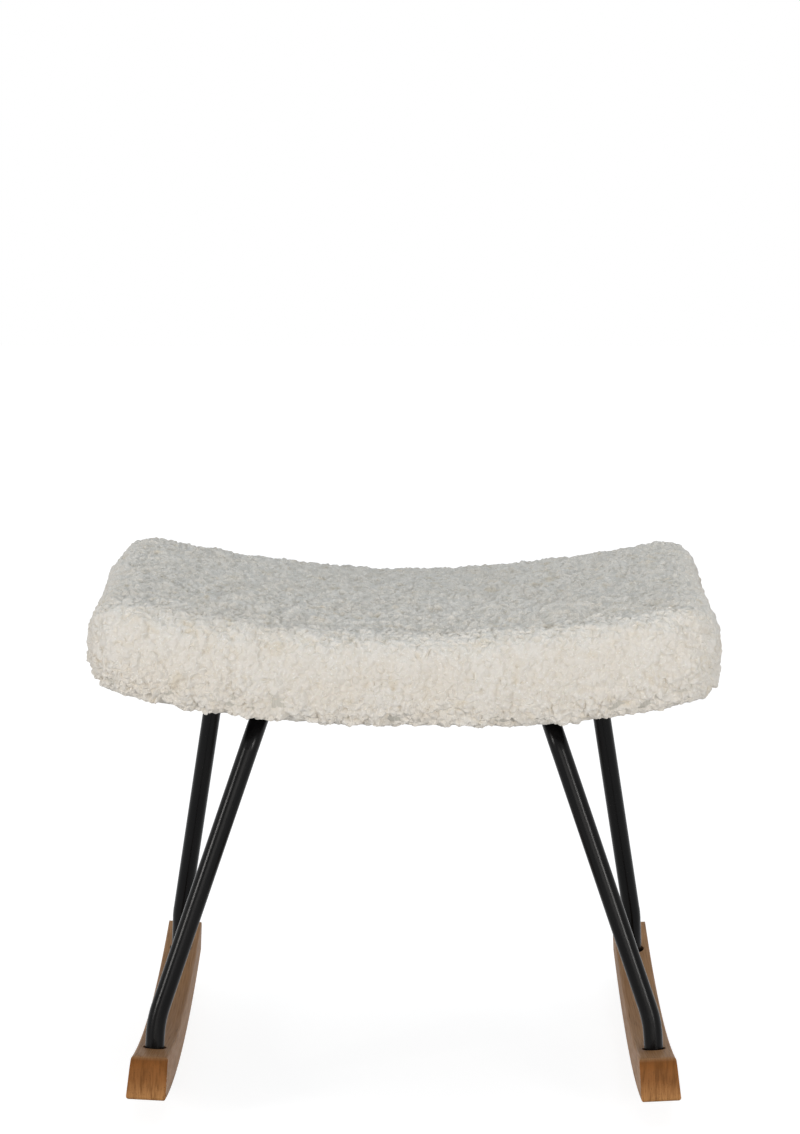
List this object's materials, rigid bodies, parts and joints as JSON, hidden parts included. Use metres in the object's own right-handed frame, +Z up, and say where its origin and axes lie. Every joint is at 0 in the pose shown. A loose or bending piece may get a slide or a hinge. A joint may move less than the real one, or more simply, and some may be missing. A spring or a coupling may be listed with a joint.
{
  "type": "rocking footstool",
  "caption": "Footstool with a curved upholstered seat on two bent steel side frames, which stand in two curved wooden rockers that roll on the floor.",
  "frame": {"origin": "on the floor, under the middle of the stool at rest (bottom centre of its box)", "axes": "+X along the seat to the right as seen from the front, +Y to the back, along which it rocks, +Z up"},
  "size_m": [0.522, 0.451, 0.4273],
  "materials": {
    "oak": "oiled oak, satin",
    "black_steel": "satin black powder coat",
    "black_bolt": "blackened",
    "zinc": "zinc plated",
    "plywood": "raw bent plywood",
    "foam": "open-cell foam",
    "wadding": "polyester fibre wadding",
    "teddy_fabric": "curly teddy pile, matt",
    "nonwoven": "thin non-woven cloth"
  },
  "bodies": {
    "root": {"rocker_left": "oak", "rocker_right": "oak", "side_frame_left": "black_steel", "side_frame_right": "black_steel", "front_crossbar": "black_steel", "rear_crossbar": "black_steel", "leg_inserts": "zinc", "rocker_bolts": "zinc", "rocker_bolt_washers": "zinc", "seat_bolts": "black_bolt", "seat_bolt_washers": "zinc", "tee_nuts": "zinc", "seat_board": "plywood", "seat_foam": "foam", "seat_wadding": "wadding", "seat_cover": "teddy_fabric", "dust_cover": "nonwoven", "cover_staples": "zinc", "dust_cover_staples": "zinc"}
  },
  "joints": []
}
